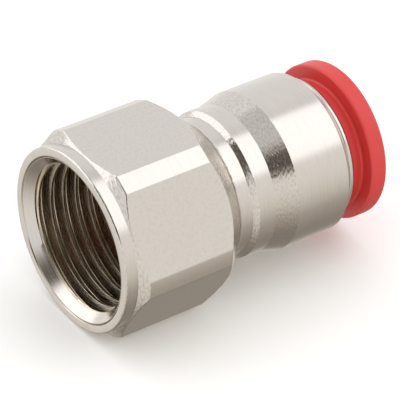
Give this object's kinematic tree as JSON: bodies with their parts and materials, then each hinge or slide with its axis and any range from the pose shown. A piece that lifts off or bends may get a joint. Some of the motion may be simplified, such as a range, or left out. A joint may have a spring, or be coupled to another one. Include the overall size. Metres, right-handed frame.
{
  "type": "push-in tube fitting",
  "caption": "Straight push-in pneumatic fitting: hexagon body with a female pipe thread, round barrel, and a red release ring around the tube port.",
  "frame": {"origin": "centre of the flat ring at the thread's mouth, on the fitting's axis", "axes": "+X along the fitting's axis from the thread's mouth to the release ring, +Z square to the hexagon's top flat"},
  "size_m": [0.0404, 0.0264, 0.024],
  "materials": {
    "nickel_plated_brass": "turned brass with bright nickel plating",
    "release_ring_acetal": "red acetal, satin moulded",
    "seal_rubber": "black nitrile rubber",
    "spring_steel": "stamped stainless spring steel",
    "turned_brass": "plain turned brass"
  },
  "bodies": {
    "housing": {"body": "nickel_plated_brass", "tube_seal": "seal_rubber", "support_ring": "turned_brass", "retaining_collar": "nickel_plated_brass"},
    "grip": {"grab_ring": "spring_steel"},
    "release": {"release_ring": "release_ring_acetal"}
  },
  "joints": [
    {"name": "grip_swivel", "type": "hinge", "parent": "housing", "child": "grip", "pos_m": [0, 0, 0], "axis": [1, 0, 0], "continuous": true},
    {"name": "release_push", "type": "slide", "parent": "grip", "child": "release", "axis": [-1, 0, 0], "range_m": [0, 0.0018], "stiffness_N_per_m": 4000, "deforming": ["grab_ring"]}
  ]
}
